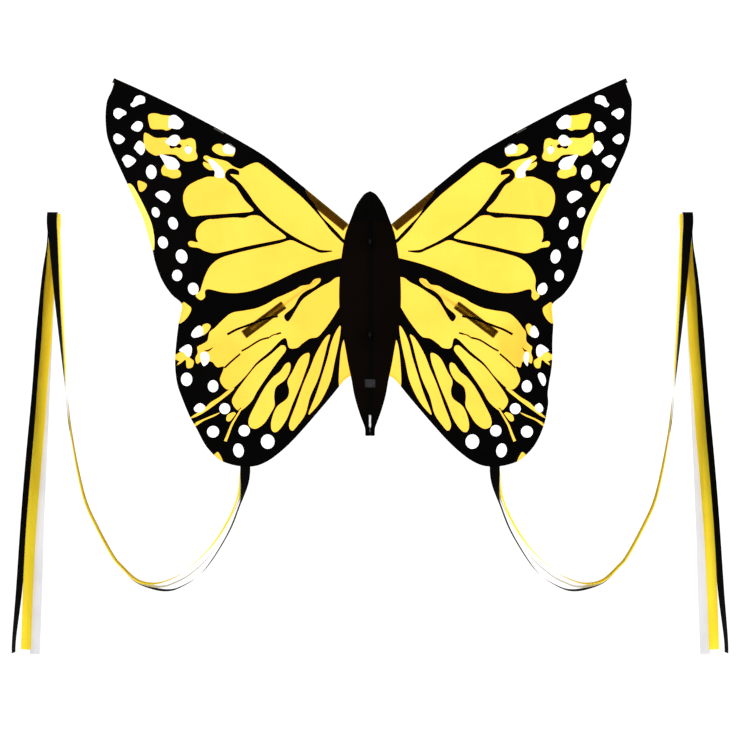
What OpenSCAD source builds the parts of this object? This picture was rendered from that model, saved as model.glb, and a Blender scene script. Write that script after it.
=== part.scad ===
// Butterfly kite of the delta family: two printed ripstop wings and a black body on a
// fibreglass frame, with three ribbon tails on each wing.
// X is to the right, Y points to the back of the kite and Z is up. The origin is the bore of
// the upper bridle eyelet. The wings are drawn once, for the right side, and mirrored.

/* [Wings] */
// Widest distance across the two wings
wingspan = 1309; // [1250:1:1370]
// Thickness of one layer of cloth, drawn thicker than real ripstop
cloth_t = 0.6; // [0.4:0.1:0.7]
// Width of the tape that makes the leading edge and hind wing sleeves
sleeve_w = 22; // [18:1:26]
// Width of the narrower sleeve tape towards each wing tip
outer_sleeve_w = 12; // [10:1:20]
// How far the wing cloth reaches under the edge of the body
seam_w = 8; // [5:1:10]

/* [Frame rods] */
// Diameter of the wing rods
rod_d = 4; // [3:0.2:4]
// Diameter of the spine rod
spine_d = 5; // [4:0.2:5]
// Outside diameter of the ferrule that joins the two leading edge rods
ferrule_d = 5.2; // [4.8:0.1:5.6]
// Length of that ferrule
ferrule_len = 60; // [50:1:80]
// Length of the soft end caps on the rods
cap_len = 12; // [8:1:15]

/* [Hub] */
// Height of the moulded hub along the spine
hub_h = 34; // [30:1:36]
// Outside diameter of the hub's barrel
hub_d = 11; // [9:0.5:12]
// Diameter of the hub's four arms
arm_d = 8; // [7:0.5:8]
// Outside diameter of the vinyl couplers that join the wing rods to the hub
coupler_d = 6.8; // [6:0.2:6.8]
// Distance from the spine to the line about which each wing folds
fold_x = 19.5; // [19:0.5:21]

/* [Bridle points] */
// Bore of the bridle eyelets
eyelet_bore = 6; // [4:0.5:7]
// Height of the lower bridle eyelet, below the upper one
bridle_drop = 230; // [200:1:260]
// Thickness of a bridle tab, two layers of webbing
tab_t = 3; // [2:0.2:4]

/* [Tails] */
// Width of the ribbon tails
ribbon_w = 25; // [20:1:25]
// Thickness of the ribbon tails, drawn thicker than real ribbon
ribbon_t = 0.4; // [0.3:0.1:0.6]

/* [Hidden] */
$fn = 48;

// Everything in the plane of the kite scales with the span; outlines are for a span of 1309.
k = wingspan / 1309;

// Layers, from front to back
body_y = 12;                         // front of the body cloth
sail_y = body_y + cloth_t;           // front of the wing cloth, behind the body's edge
tape_y = sail_y + cloth_t;           // front of the sleeves sewn behind the wing cloth
channel_r = 2.9;                     // inside radius of every sleeve channel
channel_out = channel_r + cloth_t;
rod_y = tape_y + channel_r;          // every rod, and both fold axes, lie at this depth
gap = 0.35;                          // clearance each side of a fold line
pocket_w = 16;                       // width of the pockets at the spine's ends

// Leading edge: a straight stretch, a tight bend and a long gentle bend
edge_start = [0, 1.2] * k;
edge_heading = [39.4, 30.5, 23.3];
edge_len = [291, 80, 386] * k;
bend_r = [
    0,
    to_radius(edge_len[1], edge_heading[0] - edge_heading[1]),
    to_radius(edge_len[2], edge_heading[1] - edge_heading[2])
];
edge_s = [0, edge_len[0], edge_len[0] + edge_len[1], edge_len[0] + edge_len[1] + edge_len[2]];
bend_start = edge_start + edge_len[0] * along(edge_heading[0]);
tight_centre = bend_start - bend_r[1] * outward(edge_heading[0]);
gentle_start = tight_centre + bend_r[1] * outward(edge_heading[1]);
gentle_centre = gentle_start - bend_r[2] * outward(edge_heading[1]);

// Places along the leading edge, measured from the spine
sweep_step = 13;                     // between two sections of a part swept round the bends
sail_from = 68 * k;
inner_sleeve_span = [68, 444] * k;
outer_sleeve_span = [486, 757] * k;
rod_joint = 465 * k;
spigot_end = 18;
rod_from = 24;
coupler_span = [12.5, 44];
tube_play = 0.1;                     // bore of couplers, caps and ferrules over the rods' diameter
rod_in = -channel_out;               // the leading rods lie this far inside the edge

// Hind wing rod, straight from the hub down to a pocket behind the hind wing
hind_start = [0, 5.4] * k;
hind_heading = -37;
hind_spigot_end = 20;
hind_rod_from = 26;
hind_coupler_span = [12.5, 46];
pocket_span = [267, 391] * k;

// Outline of one side of the body, from nose to tail
body_side = [
    [0, 126], [11, 121], [20, 112], [35, 89], [46, 61], [55, 38], [62, 16], [68, -18],
    [73, -55], [76, -100], [76.5, -150], [73, -200], [62, -257], [54, -303], [46, -340],
    [39, -379], [27, -421], [14, -456], [12, -466], [12, -480]
];
// Outline of a wing behind its tip: outer margin, notch, hind wing and trailing edge
wing_margin = [
    [632, 400], [640, 374], [651, 349], [654.5, 312], [651, 266], [640, 231], [620, 186],
    [600, 143], [579, 97], [560, 55], [547, 10], [538, -20], [530, -55], [514, -96],
    [491, -130], [466, -153], [468, -179], [474, -207], [480, -260], [482, -305],
    [477, -350], [464, -388], [446, -431], [430, -460], [409, -500], [390, -523],
    [369, -541], [340, -552], [312, -556], [285, -555], [262, -547], [236, -531],
    [200, -500], [160, -457], [100, -387], [64, -343], [46, -331]
];

// Ribbon routes: place, and the turn of the ribbon's width about Z, 0 when it faces forward.
// Each runs from the hind wing down to a low point, up, over a fold and down to its free end.
black_route = [
    [309, 14.2, -543, 0], [309, 14.2, -556, 0], [309, 14.6, -570, -12], [311, 16, -600, -44],
    [317, 18, -632, -72], [325, 20, -656, -80], [350, 22, -718, -79], [396, 24, -794, -79],
    [431, 25, -832, -80], [474, 26, -857, -82], [504, 29, -864, -84], [540, 33, -859, -87],
    [583, 36, -841.5, -90], [619, 37, -805, -90], [641, 37, -778, -90], [679, 37, -708, -90],
    [707, 37, -646, -90], [726, 36.5, -571, -90], [741, 33, -490, -92], [749.5, 27, -438, -96],
    [757, 22, -352, -101], [767, 18, -238, -116], [776, 14, -124, -133], [783, 10, -10, -155],
    [787, 8, 40, -175], [787, 8, 64, -180], [787, 18.5, 74.5, -180], [787, 29, 64, -180],
    [788, 29, 40, -180], [791, 29, -9, -180], [800, 29, -66, -180], [807, 29, -124, -180],
    [818, 29, -238, -180], [826, 29, -352, -182], [836, 28, -466, -190], [858, 27, -695, -228],
    [871, 27, -862, -239], [883, 27, -978, -254], [885, 27, -1019, -258]
];
yellow_route = [
    [309, 17, -543, 0], [309, 17, -556, 0], [310.5, 17.5, -570, -14], [318, 20, -600, -56],
    [330, 22, -638, -78], [345, 23, -676, -75], [372, 24, -724, -74], [406, 25, -768, -75],
    [458, 25, -815, -78], [498, 25, -837, -81], [538, 25, -847, -82], [579, 25, -838, -82],
    [617, 25, -804, -82], [639, 25, -777, -82], [677, 25, -707, -82], [705, 25, -645.5, -82],
    [724, 25, -570.5, -84], [738.5, 25, -490, -88], [744.8, 24, -438, -93],
    [752.5, 22.9, -352, -101], [761, 20, -238, -116], [769, 17, -124, -133], [776, 13.8, -10, -155],
    [780, 12, 40, -175], [780, 12, 64, -180], [780, 18.5, 70.5, -180], [780, 25, 64, -180],
    [780, 25, 40, -180], [787, 25, -9, -180], [791, 25, -66, -180], [797, 25, -124, -180],
    [802, 20, -238, -180], [811, 16, -352, -180], [819, 14, -466, -180], [838, 13, -695, -180],
    [847, 13, -862, -180], [852, 13, -1009, -176]
];
white_route = [
    [309, 15.6, -543, 0], [309, 15.6, -556, 0], [309.8, 16, -570, -13], [314, 18, -600, -49],
    [322, 20, -632, -78], [334, 22, -662, -86], [362, 23, -724, -88], [402, 24, -783, -88],
    [450, 25, -826, -88], [488, 26, -846, -88], [512, 28, -854, -88], [540, 30, -853.5, -87],
    [581, 31, -840, -86], [618, 31.5, -804.5, -86], [640, 31.5, -777.5, -86],
    [678, 31.5, -707.5, -86], [706, 31.5, -645.5, -86], [725, 31, -571, -88], [740, 29, -490, -91],
    [747, 25.5, -438, -95], [755, 22.4, -352, -101], [765.2, 18.9, -238, -116],
    [774.6, 15.4, -124, -133], [782.2, 11.8, -10, -155], [786, 10, 40, -175], [786, 10, 64, -180],
    [786, 18.5, 72.5, -180], [786, 27, 64, -180], [786, 27, 40, -180], [787, 27, -9, -180],
    [790, 27, -66, -180], [795, 27, -124, -180], [801, 26.5, -238, -180], [806, 26, -352, -180],
    [811, 25, -466, -180], [821, 24, -695, -180], [826, 24, -862, -180], [832, 24, -1022, -180]
];
ribbon_rings = 2;                    // sections between two points of a route
ribbon_lean = 0.12;                  // rise across a ribbon where its route runs level

// ---- Geometry helpers ----

function to_radius(length, angle) = length / (angle * PI / 180);
function to_angle(length, radius) = length / radius * 180 / PI;
function along(a) = [cos(a), sin(a)];
function outward(a) = [-sin(a), cos(a)];
function in_space(p, y = 0) = [p[0], y, p[1]];
function unit(v) = v / norm(v);

// Point on the leading edge at distance s from the spine, moved outward by off
function edge_point(s, off = 0) =
    s <= edge_s[1] ? edge_start + s * along(edge_heading[0]) + off * outward(edge_heading[0])
    : s <= edge_s[2] ? bend_point(tight_centre, 1, s, off)
    : bend_point(gentle_centre, 2, s, off);
function bend_point(centre, i, s, off) =
    centre + (bend_r[i] + off) * outward(edge_heading[i - 1] - to_angle(s - edge_s[i], bend_r[i]));

// Smooth curve through the points of a list, with n steps between two neighbours
function blend4(a, b, c, d, t) =
    0.5 * ((2 * b) + (c - a) * t + (2 * a - 5 * b + 4 * c - d) * t * t
    + (3 * b - a - 3 * c + d) * t * t * t);
function smooth(p, n) = concat(
    [for (i = [0 : len(p) - 2], j = [0 : n - 1])
        blend4(p[max(i - 1, 0)], p[i], p[i + 1], p[min(i + 2, len(p) - 1)], j / n)],
    [p[len(p) - 1]]
);

// Sweeps a profile drawn with x outward and y backward along a straight line in the kite's plane
module straight_run(from, heading, length) {
    translate(in_space(from))
        rotate([0, 90 - heading, 0])
            rotate([0, 0, 180])
                linear_extrude(length)
                    mirror([0, 1])
                        children();
}

// The same along one bend of the leading edge, between two distances from the spine
module bend_run(centre, i, s0, s1, off) {
    from = edge_heading[i - 1] - to_angle(s0 - edge_s[i], bend_r[i]);
    to = edge_heading[i - 1] - to_angle(s1 - edge_s[i], bend_r[i]);
    translate(in_space(centre))
        rotate([90, 0, 0])
            rotate([0, 0, 90 + to])
                rotate_extrude(angle = from - to)
                    translate([bend_r[i] + off, 0])
                        mirror([0, 1])
                            children();
}

// The same along the whole leading edge
module edge_run(s0, s1, off) {
    if (s0 < edge_s[1])
        straight_run(edge_point(s0, off), edge_heading[0], min(s1, edge_s[1]) - s0) children();
    if (s0 < edge_s[2] && s1 > edge_s[1])
        bend_run(tight_centre, 1, max(s0, edge_s[1]), min(s1, edge_s[2]), off) children();
    if (s1 > edge_s[2])
        bend_run(gentle_centre, 2, max(s0, edge_s[2]), s1, off) children();
}

module hind_run(s0, s1) {
    straight_run(hind_start + s0 * along(hind_heading), hind_heading, s1 - s0) children();
}

// ---- Profiles: x outward from the rod's line, y backward ----

module rod_profile(d) {
    translate([0, rod_y]) circle(d = d);
}

module tube_profile(outside, inside) {
    difference() {
        rod_profile(outside);
        rod_profile(inside);
    }
}

// A tape from x0 to x1 lying at depth y, raised over the rod, with its channel filled
module tape_profile(x0, x1, y) {
    difference() {
        rod_profile(2 * channel_out);
        translate([-2 * channel_out, y - 10]) square([4 * channel_out, 10]);
    }
    translate([-channel_out, y]) square([2 * channel_out, rod_y - y]);
    translate([x0, y]) square([x1 - x0, cloth_t]);
}

// What is cut away to open the channel
module channel_profile(y) {
    rod_profile(2 * channel_r);
    translate([-channel_r, y - 1]) square([2 * channel_r, rod_y - y + 1]);
}

// Rings of points for the parts that are swept along the whole leading edge
rod_ring = [for (a = [0 : 15 : 345]) [rod_d / 2 * cos(a), rod_y + rod_d / 2 * sin(a)]];
sleeve_ring = concat(
    [[channel_out - sleeve_w, tape_y], [-channel_r, tape_y]],
    [for (a = [180 : -15 : 0]) [channel_r * cos(a), rod_y + channel_r * sin(a)]],
    [[channel_r, tape_y], [channel_out, tape_y]],
    [for (a = [0 : 15 : 180]) [channel_out * cos(a), rod_y + channel_out * sin(a)]],
    [[-channel_out, tape_y + cloth_t], [channel_out - sleeve_w, tape_y + cloth_t]]
);

// A ring of points, anticlockwise with x outward and y backward, swept along the leading edge
module edge_sweep(ring, s0, s1) {
    bends = [for (s = [edge_s[1] : sweep_step : edge_s[3]]) if (s > s0 && s < s1) s];
    stations = concat([s0], bends, [s1]);
    n = len(ring);
    last = n * (len(stations) - 1);
    points = [for (s = stations, p = ring) in_space(edge_point(s, rod_in + p[0]), p[1])];
    walls = [for (i = [0 : n : last - n], j = [0 : n - 1], half = [0, 1])
        let (a = i + j, b = i + (j + 1) % n)
            half == 0 ? [a, b, b + n] : [a, b + n, a + n]];
    ends = [[for (j = [n - 1 : -1 : 0]) j], [for (j = [0 : n - 1]) last + j]];
    polyhedron(points, concat(walls, ends), convexity = 6);
}

// ---- Cloth outlines ----

// A flat layer of cloth cut to the outline drawn by its children, from depth y backward
module cloth(y, thickness = cloth_t) {
    translate([0, y + thickness, 0])
        rotate([90, 0, 0])
            linear_extrude(thickness)
                children();
}

module body_half() {
    polygon(concat([[0, -480] * k], [for (p = smooth(body_side, 5)) p * k]));
}

module body_whole() {
    body_half();
    mirror([1, 0]) body_half();
}

module band(x0, x1, z0, z1) {
    translate([x0, z0]) square([x1 - x0, z1 - z0]);
}

module spine_slot() {
    band(-2.6, 2.6, -472 * k, -428 * k);
}

module wing_outline() {
    edge_from_tip = [for (i = [24 : -1 : 0]) edge_point(sail_from + (edge_s[3] - sail_from) * i / 24)];
    margin = [for (p = smooth(wing_margin, 4)) p * k];
    under_body = [for (p = smooth(body_side, 5)) if (p[1] < 42 && p[1] > -326) [p[0] * k - seam_w, p[1] * k]];
    polygon(concat(under_body, [for (i = [len(margin) - 1 : -1 : 0]) margin[i]], edge_from_tip));
}

// ---- Body and spine ----

module body_centre_strip() {
    color("#1b1a1a") cloth(body_y) difference() {
        intersection() {
            body_whole();
            band(gap - fold_x, fold_x - gap, -500 * k, 140 * k);
        }
        spine_slot();
    }
}

module nose_patch() {
    color("#101010") cloth(body_y - cloth_t) intersection() {
        body_whole();
        band(gap - fold_x, fold_x - gap, 52 * k, 140 * k);
    }
}

module tail_patch() {
    color("#101010") cloth(body_y - cloth_t) difference() {
        intersection() {
            body_whole();
            band(gap - fold_x, fold_x - gap, -500 * k, -415 * k);
        }
        spine_slot();
    }
}

module blank_label() {
    color("#8b8d90") cloth(body_y - 0.5, 0.5) translate([0, -350 * k]) square([26, 20], center = true);
}

module spine_sleeve(z0, z1) {
    straight_run([0, z0], 90, z1 - z0) difference() {
        tape_profile(-sleeve_w / 2 - 1, sleeve_w / 2 + 1, sail_y);
        channel_profile(sail_y);
    }
}

module upper_spine_sleeve() {
    color("#2a1c12") spine_sleeve(21, 100 * k);
}

module lower_spine_sleeve() {
    color("#2a1c12") spine_sleeve(-425 * k, -21);
}

module spine_rod() {
    color("#c9cdd0") straight_run([0, -472 * k], 90, 590 * k) rod_profile(spine_d);
}

// A webbing pocket from z0 to z1, hollow from h0 to h1
module spine_pocket(z0, z1, h0, h1) {
    difference() {
        straight_run([0, z0], 90, z1 - z0) tape_profile(-pocket_w / 2, pocket_w / 2, sail_y);
        straight_run([0, h0], 90, h1 - h0) channel_profile(sail_y);
    }
}

module nose_pocket() {
    color("#161616") spine_pocket(100 * k, 121 * k, 99 * k, 118.5 * k);
}

module tail_pocket() {
    color("#161616") spine_pocket(-475 * k, -458 * k, -472.5 * k, -457 * k);
}

module spine_nose_cap() {
    color("#3a3a3a") spine_cap(118 * k - cap_len, 118 * k);
}

module spine_tail_cap() {
    color("#3a3a3a") spine_cap(-472 * k, -472 * k + cap_len);
}

// A thin sleeve around the end of the spine
module spine_cap(z0, z1) {
    straight_run([0, z0], 90, z1 - z0) tube_profile(2 * channel_r - 0.1, spine_d);
}

// Moulded hub: a barrel on the spine with an arm and a spigot towards each wing rod
module cross_hub() {
    color("#141414") difference() {
        intersection() {
            union() {
                straight_run([0, -hub_h / 2], 90, hub_h) rod_profile(hub_d);
                hub_arms();
                mirror([1, 0, 0]) hub_arms();
            }
            translate([-50, sail_y + 0.2, -50]) cube([100, 20, 100]);
        }
        straight_run([0, -hub_h / 2 - 1], 90, hub_h + 2) rod_profile(spine_d + 0.1);
    }
}

module hub_arms() {
    edge_run(0, coupler_span[0], rod_in) rod_profile(arm_d);
    hind_run(0, hind_coupler_span[0]) rod_profile(arm_d);
    edge_run(coupler_span[0] - 1, spigot_end, rod_in) rod_profile(rod_d);
    hind_run(hind_coupler_span[0] - 1, hind_spigot_end) rod_profile(rod_d);
}

// ---- Bridle points: webbing tabs in the centre seam, each with a metal eyelet ----

module bridle_tab(z) {
    reach = 7;
    tab_h = 18;
    translate([-tab_t / 2, 0, z]) rotate([90, 0, 90]) linear_extrude(tab_t) difference() {
        union() {
            translate([0, -tab_h / 2]) square([body_y, tab_h]);
            circle(r = tab_h / 2);
        }
        translate([-reach - 20, -tab_h]) square([20, 2 * tab_h]);
        circle(d = eyelet_bore + 1.2);
    }
}

module bridle_eyelet(z) {
    flange_t = 0.6;
    flange_r = eyelet_bore / 2 + 2.4;
    translate([-tab_t / 2 - flange_t, 0, z]) rotate([0, 90, 0]) difference() {
        union() {
            cylinder(h = tab_t + 2 * flange_t, d = eyelet_bore + 1.2);
            cylinder(h = flange_t, r = flange_r);
            translate([0, 0, tab_t + flange_t]) cylinder(h = flange_t, r = flange_r);
        }
        translate([0, 0, -1]) cylinder(h = tab_t + 4, d = eyelet_bore);
    }
}

module upper_bridle_tab() { color("#161616") bridle_tab(0); }
module lower_bridle_tab() { color("#161616") bridle_tab(-bridle_drop); }
module upper_bridle_eyelet() { color("#b9a26a") bridle_eyelet(0); }
module lower_bridle_eyelet() { color("#b9a26a") bridle_eyelet(-bridle_drop); }

// ---- One wing, drawn for the right side ----

module body_panel() {
    color("#1b1a1a") cloth(body_y) intersection() {
        body_half();
        band(fold_x + gap, 100 * k, -500 * k, 140 * k);
    }
}

module side_nose_patch() {
    color("#101010") cloth(body_y - cloth_t) intersection() {
        body_half();
        band(fold_x + gap, 100 * k, 52 * k, 140 * k);
    }
}

module wing_sail() {
    color("#f4dc3c") cloth(sail_y) wing_outline();
}

module inner_sleeve() {
    color("#3a2410") edge_sweep(sleeve_ring, inner_sleeve_span[0], inner_sleeve_span[1]);
}

module outer_sleeve() {
    closed_len = 3;
    color("#161412") difference() {
        edge_run(outer_sleeve_span[0], outer_sleeve_span[1], rod_in)
            tape_profile(channel_out - outer_sleeve_w, channel_out, tape_y);
        edge_run(outer_sleeve_span[0] - 1, outer_sleeve_span[1] - closed_len, rod_in)
            channel_profile(tape_y);
    }
}

module inner_rod() {
    color("#24272a") edge_sweep(rod_ring, rod_from, rod_joint);
}

module outer_rod() {
    color("#24272a") edge_run(rod_joint + 0.2, edge_s[3] - 5, rod_in) rod_profile(rod_d);
}

module ferrule() {
    color("#a9adb0") edge_run(rod_joint - ferrule_len / 2, rod_joint + ferrule_len / 2, rod_in)
        tube_profile(ferrule_d, rod_d + tube_play);
}

module tip_cap() {
    color("#3a3a3a") edge_run(edge_s[3] - 5 - cap_len, edge_s[3] - 5, rod_in)
        tube_profile(ferrule_d, rod_d + tube_play);
}

module hind_rod() {
    color("#c9cdd0") hind_run(hind_rod_from, pocket_span[1] - 8) rod_profile(rod_d);
}

module hind_pocket() {
    closed_len = 6;
    color("#3a2c10") difference() {
        hind_run(pocket_span[0], pocket_span[1])
            tape_profile(-sleeve_w / 2, sleeve_w / 2, tape_y);
        hind_run(pocket_span[0] - 1, pocket_span[1] - closed_len) channel_profile(tape_y);
    }
}

module hind_cap() {
    color("#3a3a3a") hind_run(pocket_span[1] - 8 - cap_len, pocket_span[1] - 8)
        tube_profile(ferrule_d, rod_d + tube_play);
}

module leading_coupler() {
    color("#202020") edge_run(coupler_span[0], coupler_span[1], rod_in)
        tube_profile(coupler_d, rod_d + tube_play);
}

module hind_coupler() {
    color("#202020") hind_run(hind_coupler_span[0], hind_coupler_span[1])
        tube_profile(coupler_d, rod_d + tube_play);
}

// Tab behind the hind wing's lowest point, which the three ribbons are sewn to
module tail_tab() {
    color("#161616") cloth(tape_y) translate([309 * k - 12, -554 * k]) square([24, 14]);
}

// A flat ribbon swept along its route; its width turns about Z as the route says
module ribbon(route) {
    rings = smooth([for (p = route) [p[0] * k, p[1], p[2] * k, p[3]]], ribbon_rings);
    n = len(rings);
    place = [for (r = rings) [r[0], r[1], r[2]]];
    forward = [for (i = [0 : n - 1]) unit(place[min(i + 1, n - 1)] - place[max(i - 1, 0)])];
    flat = [for (i = [0 : n - 1]) across(turned(rings[i][3]), forward[i])];
    side = [for (i = [0 : n - 1]) cross(forward[i], flat[i])];
    corners = [[-1, -1], [1, -1], [1, 1], [-1, 1]];
    points = [for (i = [0 : n - 1], c = corners)
        place[i] + c[0] * ribbon_w / 2 * flat[i] + c[1] * ribbon_t / 2 * side[i]];
    // The front and back faces are cut along the same diagonal, so a twist keeps its thickness
    walls = [for (i = [0 : n - 2], j = [0 : 3], half = [0, 1])
        let (a = 4 * i + j, b = 4 * i + (j + 1) % 4)
            j == 2 ? (half == 0 ? [a, b, a + 4] : [b, b + 4, a + 4])
            : (half == 0 ? [a, b, b + 4] : [a, b + 4, a + 4])];
    ends = [[2, 1, 0], [3, 2, 0], [4 * n - 4, 4 * n - 3, 4 * n - 2], [4 * n - 4, 4 * n - 2, 4 * n - 1]];
    polyhedron(points, concat(walls, ends), convexity = 10);
}
// Which way a ribbon's width points for a turn about Z
function turned(a) = [cos(a), sin(a), ribbon_lean * sin(a)];
// The part of v that is square to a direction, as a unit vector
function across(v, direction) = unit(v - (v * direction) * direction);

module black_ribbon() { color("#151515") ribbon(black_route); }
module yellow_ribbon() { color("#f2d833") ribbon(yellow_route); }
module white_ribbon() { color("#eeeef2") ribbon(white_route); }

// ---- Assembly ----

module left() {
    mirror([1, 0, 0]) children();
}

body_centre_strip();
nose_patch();
tail_patch();
blank_label();
upper_spine_sleeve();
lower_spine_sleeve();
spine_rod();
nose_pocket();
tail_pocket();
spine_nose_cap();
spine_tail_cap();
cross_hub();
upper_bridle_tab();
lower_bridle_tab();
upper_bridle_eyelet();
lower_bridle_eyelet();

left() body_panel();  // left_body_panel
left() side_nose_patch();  // left_nose_patch
left() wing_sail();  // left_wing_sail
left() inner_sleeve();  // left_inner_sleeve
left() outer_sleeve();  // left_outer_sleeve
left() inner_rod();  // left_inner_rod
left() outer_rod();  // left_outer_rod
left() ferrule();  // left_ferrule
left() tip_cap();  // left_tip_cap
left() hind_rod();  // left_hind_rod
left() hind_pocket();  // left_hind_pocket
left() hind_cap();  // left_hind_cap
left() leading_coupler();  // left_leading_coupler
left() hind_coupler();  // left_hind_coupler
left() tail_tab();  // left_tail_tab
left() black_ribbon();  // left_black_ribbon
left() yellow_ribbon();  // left_yellow_ribbon
left() white_ribbon();  // left_white_ribbon

body_panel();  // right_body_panel
side_nose_patch();  // right_nose_patch
wing_sail();  // right_wing_sail
inner_sleeve();  // right_inner_sleeve
outer_sleeve();  // right_outer_sleeve
inner_rod();  // right_inner_rod
outer_rod();  // right_outer_rod
ferrule();  // right_ferrule
tip_cap();  // right_tip_cap
hind_rod();  // right_hind_rod
hind_pocket();  // right_hind_pocket
hind_cap();  // right_hind_cap
leading_coupler();  // right_leading_coupler
hind_coupler();  // right_hind_coupler
tail_tab();  // right_tail_tab
black_ribbon();  // right_black_ribbon
yellow_ribbon();  // right_yellow_ribbon
white_ribbon();  // right_white_ribbon
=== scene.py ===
"""Butterfly kite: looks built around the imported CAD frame. Lengths in the tables are in millimetres."""

import math

import bpy
import numpy as np
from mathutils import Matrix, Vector, noise
from mathutils.geometry import delaunay_2d_cdt


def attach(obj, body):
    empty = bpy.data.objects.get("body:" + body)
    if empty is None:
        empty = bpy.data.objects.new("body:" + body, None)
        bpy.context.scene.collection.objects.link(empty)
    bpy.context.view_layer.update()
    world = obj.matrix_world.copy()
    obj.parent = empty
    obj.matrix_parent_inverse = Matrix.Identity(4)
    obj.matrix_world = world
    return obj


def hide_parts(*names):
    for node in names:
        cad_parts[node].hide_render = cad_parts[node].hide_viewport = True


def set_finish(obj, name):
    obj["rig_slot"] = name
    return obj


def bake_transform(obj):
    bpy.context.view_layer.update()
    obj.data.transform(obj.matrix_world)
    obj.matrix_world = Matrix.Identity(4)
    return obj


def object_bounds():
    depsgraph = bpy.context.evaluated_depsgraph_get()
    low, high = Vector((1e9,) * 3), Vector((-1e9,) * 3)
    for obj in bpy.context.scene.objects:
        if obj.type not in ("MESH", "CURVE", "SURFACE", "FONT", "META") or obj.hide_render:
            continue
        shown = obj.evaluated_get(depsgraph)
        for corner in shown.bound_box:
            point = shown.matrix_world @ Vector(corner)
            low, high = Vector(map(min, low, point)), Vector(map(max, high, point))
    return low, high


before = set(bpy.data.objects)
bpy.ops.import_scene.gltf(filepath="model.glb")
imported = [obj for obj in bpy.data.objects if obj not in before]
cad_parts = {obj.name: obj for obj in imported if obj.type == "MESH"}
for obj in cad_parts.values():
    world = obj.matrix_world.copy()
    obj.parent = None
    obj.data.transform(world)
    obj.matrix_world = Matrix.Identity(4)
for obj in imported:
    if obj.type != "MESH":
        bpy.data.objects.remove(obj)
cad_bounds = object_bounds()
MM = 0.001
SIDES = (("left", -1), ("right", 1))

# ---- camera and light

camera = bpy.data.objects.new("camera", bpy.data.cameras.new("camera"))
camera.data.lens = 100
camera.data.sensor_width = 36
camera.location = (-0.005, -5.049, -0.312)
camera.rotation_euler = (math.radians(90), 0, 0)
bpy.context.scene.collection.objects.link(camera)
bpy.context.scene.camera = camera
bpy.context.scene.view_settings.view_transform = "Standard"

world = bpy.data.worlds.new("studio")
world.use_nodes = True
world.node_tree.nodes["Background"].inputs["Color"].default_value = (1, 1, 1, 1)
world.node_tree.nodes["Background"].inputs["Strength"].default_value = 1.12
bpy.context.scene.world = world


def soft_light(name, place, aim, size, power):
    lamp = bpy.data.lights.new(name, "AREA")
    lamp.size = size
    lamp.energy = power
    o = bpy.data.objects.new(name, lamp)
    o.location = place
    o.rotation_euler = (Vector(aim) - Vector(place)).to_track_quat("-Z", "Y").to_euler()
    bpy.context.scene.collection.objects.link(o)


soft_light("key_softbox", (-2.0, -3.0, 2.2), (0, 0, -0.2), 1.6, 55)
soft_light("back_softbox", (1.8, 2.8, 1.6), (0, 0, -0.2), 2.0, 60)

# ---- materials


class Nodes:
    """A short way to write a node tree."""

    def __init__(self, material):
        material.use_nodes = True
        self.tree = material.node_tree
        self.tree.nodes.clear()

    def add(self, kind, **inputs):
        n = self.tree.nodes.new("ShaderNode" + kind)
        for key, value in inputs.items():
            if key.startswith("_"):
                setattr(n, key[1:], value)
                continue
            numbered = key[0] == "i" and key[1:].isdigit()
            socket = n.inputs[int(key[1:]) if numbered else key.replace("_", " ")]
            if isinstance(value, bpy.types.NodeSocket):
                self.tree.links.new(value, socket)
            else:
                socket.default_value = value
        return n

    def math(self, operation, a, b=0.0):
        return self.add("Math", _operation=operation, i0=a, i1=b).outputs[0]

    def mix(self, factor, a, b):
        n = self.add("Mix", _data_type="RGBA", i0=factor)
        for socket, value in ((n.inputs[6], a), (n.inputs[7], b)):
            if isinstance(value, bpy.types.NodeSocket):
                self.tree.links.new(value, socket)
            else:
                socket.default_value = (*value, 1)
        return n.outputs[2]

    def ramp(self, value, low, high):
        n = self.add("MapRange", _interpolation_type="SMOOTHSTEP", i0=value, i1=low, i2=high)
        return n.outputs[0]


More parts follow.
